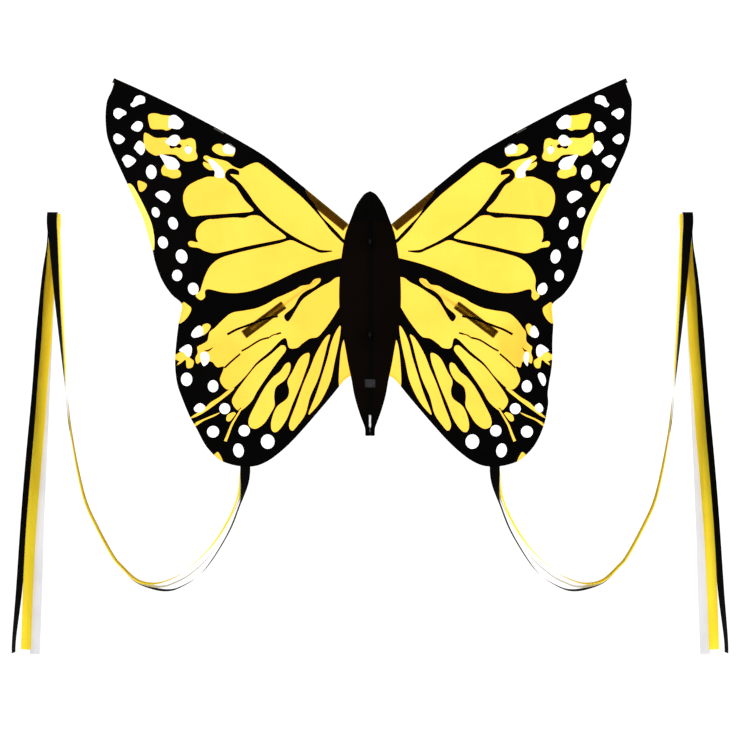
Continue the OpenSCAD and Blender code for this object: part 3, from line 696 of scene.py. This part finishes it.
def print_at(points):
    """Which of the print's colours lies at each point."""
    index = np.zeros(len(points), int)
    for colour, outline in regions:
        lo, hi = outline.min(0), outline.max(0)
        near = np.flatnonzero(((points >= lo) & (points <= hi)).all(1))
        if len(near):
            index[near[inside(outline, points[near])]] = COLOURS.index(colour)
    return index


sail_index = print_at(sail_centres)
sail_back = sail_depth(sail_2d)

for side_name, side in SIDES:
    wing = side_name + "_wing"
    sail = make_object(wing + "_cloth", place(sail_2d, sail_back, side), turned(sail_faces, side), COLOURS,
                       sail_index)
    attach(sail, wing)
    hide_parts(side_name + "_wing_sail")
    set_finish(sail, "printed_ripstop")

# ---- body

SLOT_LOW, SLOT_HIGH, SLOT_HALF = -472.0, -428.0, 2.6
BODY_COLUMNS = (3.5, 7, 10, 13, 15, 17, 19, 21, 23, 25, 27, 31, 37, 44, 51, 58, 65, 72)


def body_outline(z_low=-1e3, z_high=1e3):
    """One half of the body between two heights, with its share of the slot."""
    side_line = np.array([p for p in body_curve if z_low <= p[1] <= z_high])
    top = [] if z_high > 126 else [(np.interp(-z_high, -body_curve[:, 1], body_curve[:, 0]), z_high)]
    low = [] if z_low < -480 else [(np.interp(-z_low, -body_curve[:, 1], body_curve[:, 0]), z_low)]
    outer = [*top, *[tuple(p) for p in side_line], *low]
    bottom, peak = outer[-1][1], outer[0][1]
    inner = [(0.0, bottom)]
    if bottom < SLOT_LOW:
        inner += [(0.0, SLOT_LOW), (SLOT_HALF, SLOT_LOW), (SLOT_HALF, SLOT_HIGH), (0.0, SLOT_HIGH)]
    if peak < 126:
        inner.append((0.0, peak))
    return np.array(outer + inner)


def body_depth(points, lift):
    edge = np.minimum(distance(points, body_curve), points[:, 0])
    belly = ease(edge, 1, 26)
    ripple = noise_at(points * (1, 0.4), 1 / 24, 4.2) * 1.0 + noise_at(points, 1 / 9, 2.5) * 0.25
    return BODY_Y + 0.3 - lift - belly * (1.7 + ripple)


for side_name, side in SIDES:
    wing = side_name + "_wing"
    for part, low, high, lift, material, slot, nodes in (
        ("body_cloth", -1e3, 1e3, 0.0, "body_black", "black_ripstop", ("body_panel", "body_centre_strip")),
        ("nose_reinforcement", 52, 1e3, 0.7, "patch_black", "reinforcing_cloth",
         ("nose_patch", "nose_patch")),
        ("tail_reinforcement", -1e3, -415, 0.7, "patch_black", "reinforcing_cloth", (None, "tail_patch")),
    ):
        outline = resample_loop(body_outline(low, high), 5)
        flat, faces, _ = flat_cloth(outline, grid=7.0, columns=BODY_COLUMNS)
        o = make_object(side_name + "_" + part, place(flat, body_depth(flat, lift), side),
                        turned(faces, side), [material])
        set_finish(o, slot)
        own, shared = nodes
        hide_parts(*([side_name + "_" + own] if own else []), shared)
        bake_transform(o)

# Binding over the centre seam, above and below the bridle points and the slot
binding_rings = []
for zc in np.linspace(120, SLOT_HIGH, 110):
    w = min(5.5, max(0.8, np.interp(-zc, -body_curve[:, 1], body_curve[:, 0]) - 1))
    binding_rings.append([(x * MM, (BODY_Y - 1.0 - 0.6 * math.sqrt(max(0, 1 - (x / w) ** 2))
                                    + 0.15 * noise.noise(Vector((x / 3, zc / 8, 1)))) * MM, zc * MM)
                          for x in np.linspace(-w, w, 7)])
binding = sweep("centre_seam_binding", binding_rings, "patch_black")
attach(binding, "body")
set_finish(binding, "reinforcing_cloth")

label_outline = np.array(((-13, -340), (-13, -360), (13, -360), (13, -340)), float)
label_2d, label_faces, _ = flat_cloth(resample_loop(label_outline, 2.5), grid=2.5)
label_y = BODY_Y - 2.3 + 0.25 * noise_at(label_2d, 1 / 7, 5.0)
label = make_object("blank_woven_label", place(label_2d, label_y, 1), label_faces, ["label"])
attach(label, "body")
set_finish(label, "label_cloth")
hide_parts("blank_label")

# ---- sleeves and pockets


def channel_section(x0, x1, y0, crown, lean=0.0):
    """Cross-section of a tape sewn flat with a channel over the rod: x outward, y backward."""
    r = CHANNEL_R + 0.3
    tail = [(x, y0 + 0.3) for x in np.linspace(x0, -r - 0.8, 5)]
    arch = []
    for a in np.linspace(180, 0, 13):
        rise = math.sin(math.radians(a))
        back = y0 + 0.4 + (ROD_Y - y0) * min(1, rise * 1.6) * crown + r * rise * crown
        arch.append((r * math.cos(math.radians(a)) + lean * rise, back))
    head = [(x, y0 + 0.3) for x in np.linspace(r + 0.2, x1, 3)]
    return np.array(tail + arch + head)


def tape_piece(name, point_at, s0, s1, x0, x1, y0, side, closed_at=(), step=6.0, seed=0.0, material="tape"):
    """A sleeve along point_at(s, off), flattened where it is sewn shut."""
    rings, edges = [], ([], [])
    for s in np.linspace(s0, s1, max(3, int((s1 - s0) / step))):
        crown = 1.0
        for end in closed_at:
            crown = min(crown, float(ease(abs(s - end), 2, 9)) * 0.92 + 0.08)
        crown *= 1 + 0.05 * noise.noise(Vector((s / 14, seed, 0)))
        lean = 0.35 * noise.noise(Vector((s / 30, seed, 5)))
        section = channel_section(x0, x1, y0, crown, lean)
        ring = []
        for x, y in section:
            p = point_at(s, x)
            ring.append((side * p[0] * MM, y * MM, p[1] * MM))
        rings.append(ring)
        for edge, x in zip(edges, (x0 + 1.6, -CHANNEL_R - 1.6)):
            p = point_at(s, x)
            edge.append((side * p[0], y0 + 0.75, p[1]))
    rings = np.array(rings)
    if side < 0:
        rings = rings[::-1]
    return sweep(name, rings, material), [np.array(e) for e in edges]


def edge_rod_point(s, x):
    return edge_point(s, ROD_IN + x)


def spine_point(s, x):
    return np.array((x, s))


for side_name, side in SIDES:
    wing = side_name + "_wing"
    for part, at, s0, s1, x0, x1, closed in (
        ("inner_sleeve", edge_rod_point, 68, 444, -18.5, 3.5, ()),
        ("outer_sleeve", edge_rod_point, 486, 756.5, -8.5, 3.5, (756.5,)),
        ("hind_pocket", hind_point, 267, 391, -11, 11, (391,)),
    ):
        o, edges = tape_piece(side_name + "_" + part + "_tape", at, s0, s1, x0, x1, TAPE_Y, side,
                              closed_at=closed, seed=len(part) * 1.7,
                              material="pocket_tape" if part == "hind_pocket" else "tape")
        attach(o, wing)
        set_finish(o, "sleeve_tape")
        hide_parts(side_name + "_" + part)
        stitches(side_name + "_" + part + "_stitches", edges, o)

for part, s0, s1, closed, width in (
    ("upper_spine_sleeve", 21, 100, (), 12), ("lower_spine_sleeve", -425, -21, (), 12),
    ("nose_pocket", 99.5, 121, (121,), 8), ("tail_pocket", -477, -457.5, (-477,), 8),
):
    o, edges = tape_piece(part + "_tape", spine_point, s0, s1, -width, width, SAIL_Y, 1, closed_at=closed,
                          step=4.0, seed=len(part) * 0.9)
    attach(o, "body")
    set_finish(o, "webbing" if "pocket" in part else "sleeve_tape")
    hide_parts(part)
    stitches(part + "_stitches", edges + [e * (-1, 1, 1) for e in edges], o)

# ---- hems


def hem_piece(name, line, inset, y_of, side, wing):
    """A turned hem just behind the edge of the sail, with its row of stitches."""
    line = resample(line, 7)
    along = np.gradient(line, axis=0)
    along /= np.linalg.norm(along, axis=1)[:, None]
    inward = np.stack([along[:, 1], -along[:, 0]], 1) * inset
    offsets = (0.0, 0.12, 0.5, 0.88, 1.0)
    rises = (0.05, 0.75, 0.95, 0.75, 0.15)
    columns = [line + inward * 6.0 * t for t in offsets]
    rings = np.stack([place(c, y_of(c) + r, side) for c, r in zip(columns, rises)], 1)
    colour = print_at((line[:-1] + line[1:]) / 2 + (inward[:-1] + inward[1:]))
    if side * inset < 0:
        rings, colour = rings[::-1], colour[::-1]
    # painted highlight: hem faces over yellow print take the near-white hem material
    o = sweep(name, rings, [BLACK, "hem_yellow_painted_highlight", WHITE, "hem_yellow_painted_highlight"],
              indices=np.repeat(colour, len(columns) - 1))
    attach(o, wing)
    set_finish(o, "printed_ripstop")
    middle = line + inward * 4.4
    stitches(name + "_stitches", [place(middle, y_of(middle) + 1.0, side) / MM], o)


margin_hem = margin_curve[(margin_curve[:, 1] < 395)]
split = int(np.argmin(np.linalg.norm(margin_hem - (466, -153), axis=1)))
for side_name, side in SIDES:
    wing = side_name + "_wing"
    hem_piece(side_name + "_margin_hem", margin_hem[:split + 1], 1, sail_depth, side, wing)
    hem_piece(side_name + "_hind_hem", margin_hem[split:], 1, sail_depth, side, wing)

# ---- couplers, eyelets and webbing tabs


def ring_around(centre, direction, radius, count):
    direction = np.array(direction, float) / np.linalg.norm(direction)
    u = np.cross(direction, (0, 1, 0))
    u /= np.linalg.norm(u)
    v = np.cross(direction, u)
    turns = [2 * math.pi * i / count for i in range(count)]
    return [centre + radius * (math.cos(a) * u + math.sin(a) * v) for a in turns]


def lathe(name, start, direction, profile, material, count=20):
    """A turned piece: profile is (distance along, radius), in millimetres."""
    direction = np.array(direction, float) / np.linalg.norm(direction)
    rings = [[tuple(p * MM) for p in ring_around(np.array(start) + direction * d, direction, r, count)]
             for d, r in profile]
    return sweep(name, rings, material, closed_ring=True)


for side_name, side in SIDES:
    wing = side_name + "_wing"
    for part, at, angle, s0, s1 in (("leading", edge_rod_point, EDGE_HEADING[0], 12.6, 44),
                                    ("hind", hind_point, HIND_HEADING, 12.6, 46)):
        start = at(s0, 0.0)
        direction = (side * math.cos(math.radians(angle)), 0, math.sin(math.radians(angle)))
        length = s1 - s0
        profile = [(0.0, 2.1), (0.0, 3.0), (0.5, 3.35)]
        profile += [(d, 3.35 + 0.05 * math.sin(d * 0.9)) for d in np.arange(1.5, length - 1, 1.5)]
        profile += [(length - 0.5, 3.35), (length, 3.0), (length, 2.1), (length - 3, 2.06)]
        o = lathe(side_name + "_" + part + "_coupler_tube", (side * start[0], ROD_Y, start[1]), direction,
                  profile, "vinyl")
        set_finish(o, "vinyl")
        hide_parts(side_name + "_" + part + "_coupler")
        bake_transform(o)

for name, zc in (("upper", 0.0), ("lower", -230.0)):
    rim = [(0.0, 3.0), (-1.9, 3.02), (-2.2, 3.3), (-2.55, 3.9), (-2.6, 4.6), (-2.4, 5.2), (-2.0, 5.4),
           (-1.55, 5.35)]
    profile = [(-d, r) for d, r in rim[::-1]] + rim[1:]
    o = lathe(name + "_eyelet_ring", (0, 0, zc), (1, 0, 0), profile, "eyelet", 40)
    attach(o, "body")
    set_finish(o, "eyelet_metal")
    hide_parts(name + "_bridle_eyelet")
    # a folded webbing tab: two layers with a rounded front and a hole for the eyelet
    rings = []
    for t, half in ((-1.55, 0.94), (-1.35, 1.0), (-0.25, 1.0), (-0.1, 0.985), (0.1, 0.985), (0.25, 1.0),
                    (1.35, 1.0), (1.55, 0.94)):
        outer = []
        for a in np.linspace(0, 360, 49)[:-1]:
            c, s = math.cos(math.radians(a)), math.sin(math.radians(a))
            reach = 1 / max(abs(c) / (7.0 if c < 0 else 12.2), abs(s) / 9.0)
            round_r = 9.6 if c < 0 else 14.0
            r = min(reach, round_r) * half
            outer.append((t * MM, r * c * MM, (zc + r * s) * MM))
        rings.append(outer)
    hole = [[(t * MM, 3.6 * math.cos(math.radians(a)) * MM, (zc + 3.6 * math.sin(math.radians(a))) * MM)
             for a in np.linspace(0, 360, 49)[:-1]] for t in (1.55, -1.55)]
    tab = sweep(name + "_webbing_tab", [*rings, *hole, rings[0]], "webbing", closed_ring=True)
    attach(tab, "body")
    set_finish(tab, "webbing")
    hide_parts(name + "_bridle_tab")

for side_name, side in SIDES:
    wing = side_name + "_wing"
    rings = []
    for zc in np.linspace(-553.5, -540.5, 8):
        y = TAPE_Y + 0.25 + 0.12 * math.sin(zc)
        rings.append([(side * x * MM, (y + 0.35 * math.cos((x - 309) / 8)) * MM, zc * MM)
                      for x in np.linspace(297.3, 320.7, 9)])
    tab = sweep(side_name + "_tail_webbing", rings[::side], "webbing")
    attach(tab, wing)
    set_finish(tab, "webbing")
    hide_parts(side_name + "_tail_tab")
    stitches(side_name + "_tail_stitches",
             [[(side * x, 14.4, zc) for x in (299, 319)] for zc in (-542.5, -551.5)]
             + [[(side * x, 14.4, -543), (side * (618 - x), 14.4, -551)] for x in (299, 319)], tab)

# ---- ribbon tails

RIBBON_W = 25.0
RIBBON_LEAN = 0.12
ROUTES = {
    "black": [
        (309, 14.2, -543, 0), (309, 14.2, -556, 0), (309, 14.6, -570, -12), (311, 16, -600, -44),
        (317, 18, -632, -72), (325, 20, -656, -80), (350, 22, -718, -79), (396, 24, -794, -79),
        (431, 25, -832, -80), (474, 26, -857, -82), (504, 29, -864, -84), (540, 33, -859, -87),
        (583, 36, -841.5, -90), (619, 37, -805, -90), (641, 37, -778, -90), (679, 37, -708, -90),
        (707, 37, -646, -90), (726, 36.5, -571, -90), (741, 33, -490, -92), (749.5, 27, -438, -96),
        (757, 22, -352, -101), (767, 18, -238, -116), (776, 14, -124, -133), (783, 10, -10, -155),
        (787, 8, 40, -175), (787, 8, 64, -180), (787, 18.5, 74.5, -180), (787, 29, 64, -180),
        (788, 29, 40, -180), (791, 29, -9, -180), (800, 29, -66, -180), (807, 29, -124, -180),
        (818, 29, -238, -180), (826, 29, -352, -182), (836, 28, -466, -190), (858, 27, -695, -228),
        (871, 27, -862, -239), (883, 27, -978, -254), (885, 27, -1019, -258),
    ],
    "yellow": [
        (309, 17, -543, 0), (309, 17, -556, 0), (310.5, 17.5, -570, -14), (318, 20, -600, -56),
        (330, 22, -638, -78), (345, 23, -676, -75), (372, 24, -724, -74), (406, 25, -768, -75),
        (458, 25, -815, -78), (498, 25, -837, -81), (538, 25, -847, -82), (579, 25, -838, -82),
        (617, 25, -804, -82), (639, 25, -777, -82), (677, 25, -707, -82), (705, 25, -645.5, -82),
        (724, 25, -570.5, -84), (738.5, 25, -490, -88), (744.8, 24, -438, -93),
        (752.5, 22.9, -352, -101), (761, 20, -238, -116), (769, 17, -124, -133),
        (776, 13.8, -10, -155), (780, 12, 40, -175), (780, 12, 64, -180), (780, 18.5, 70.5, -180),
        (780, 25, 64, -180), (780, 25, 40, -180), (787, 25, -9, -180), (791, 25, -66, -180),
        (797, 25, -124, -180), (802, 20, -238, -180), (811, 16, -352, -180),
        (819, 14, -466, -180), (838, 13, -695, -180), (847, 13, -862, -180), (852, 13, -1009, -176),
    ],
    "white": [
        (309, 15.6, -543, 0), (309, 15.6, -556, 0), (309.8, 16, -570, -13), (314, 18, -600, -49),
        (322, 20, -632, -78), (334, 22, -662, -86), (362, 23, -724, -88), (402, 24, -783, -88),
        (450, 25, -826, -88), (488, 26, -846, -88), (512, 28, -854, -88), (540, 30, -853.5, -87),
        (581, 31, -840, -86), (618, 31.5, -804.5, -86), (640, 31.5, -777.5, -86),
        (678, 31.5, -707.5, -86), (706, 31.5, -645.5, -86), (725, 31, -571, -88),
        (740, 29, -490, -91), (747, 25.5, -438, -95), (755, 22.4, -352, -101),
        (765.2, 18.9, -238, -116), (774.6, 15.4, -124, -133), (782.2, 11.8, -10, -155),
        (786, 10, 40, -175), (786, 10, 64, -180), (786, 18.5, 72.5, -180), (786, 27, 64, -180),
        (786, 27, 40, -180), (787, 27, -9, -180), (790, 27, -66, -180), (795, 27, -124, -180),
        (801, 26.5, -238, -180), (806, 26, -352, -180), (811, 25, -466, -180),
        (821, 24, -695, -180), (826, 24, -862, -180), (832, 24, -1022, -180),
    ],
}

for colour, route in ROUTES.items():
    curve = smooth(route, 8)
    centre = curve[:, :3]
    forward = np.gradient(centre, axis=0)
    forward /= np.linalg.norm(forward, axis=1)[:, None]
    turn = np.radians(curve[:, 3])
    wide = np.stack([np.cos(turn), np.sin(turn), RIBBON_LEAN * np.sin(turn)], 1)
    wide -= (wide * forward).sum(1)[:, None] * forward
    wide /= np.linalg.norm(wide, axis=1)[:, None]
    face = np.cross(forward, wide)
    run = np.concatenate([[0], np.cumsum(np.linalg.norm(np.diff(centre, axis=0), axis=1))])
    seed = len(colour) * 3.3
    for side_name, side in SIDES:
        rings = []
        for i in range(len(centre)):
            cup = 0.2 * noise.noise(Vector((run[i] / 90, seed, side)))
            flutter = 0.2 * noise.noise(Vector((run[i] / 40, seed, side + 5)))
            ring = []
            for t in np.linspace(-1, 1, 7):
                hem = 0.12 if abs(t) > 0.9 else 0.0
                off = cup * (t * t - 0.4) + flutter * t * 0.3 + hem
                p = centre[i] + wide[i] * t * RIBBON_W / 2 + face[i] * off
                ring.append((side * p[0] * MM, p[1] * MM, p[2] * MM))
            rings.append(ring)
        o = sweep(f"{side_name}_{colour}_tail", rings[::side], "ribbon_" + colour)
        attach(o, side_name + "_wing")
        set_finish(o, colour + "_ribbon")
        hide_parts(f"{side_name}_{colour}_ribbon")

# ---- CAD nodes that stay

for node, material in (
    ("spine_rod", "pale_rod"), ("spine_nose_cap", "vinyl"), ("spine_tail_cap", "vinyl"), ("cross_hub", "hub"),
    *[(f"{s}_{n}", m) for s, _ in SIDES for n, m in (
        ("inner_rod", "dark_rod"), ("outer_rod", "dark_rod"), ("ferrule", "ferrule"), ("tip_cap", "vinyl"),
        ("hind_rod", "pale_rod"), ("hind_cap", "vinyl"))],
):
    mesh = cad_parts[node].data
    mesh.materials.clear()
    mesh.materials.append(MATERIAL[material])

# ---- floor

floor_z = cad_bounds[0].z - 0.28
floor_rings = [[(x, y, floor_z) for x in np.linspace(-3, 3, 5)] for y in np.linspace(-3, 0.4, 5)]
floor = sweep("floor", floor_rings, "floor")

bpy.context.view_layer.update()
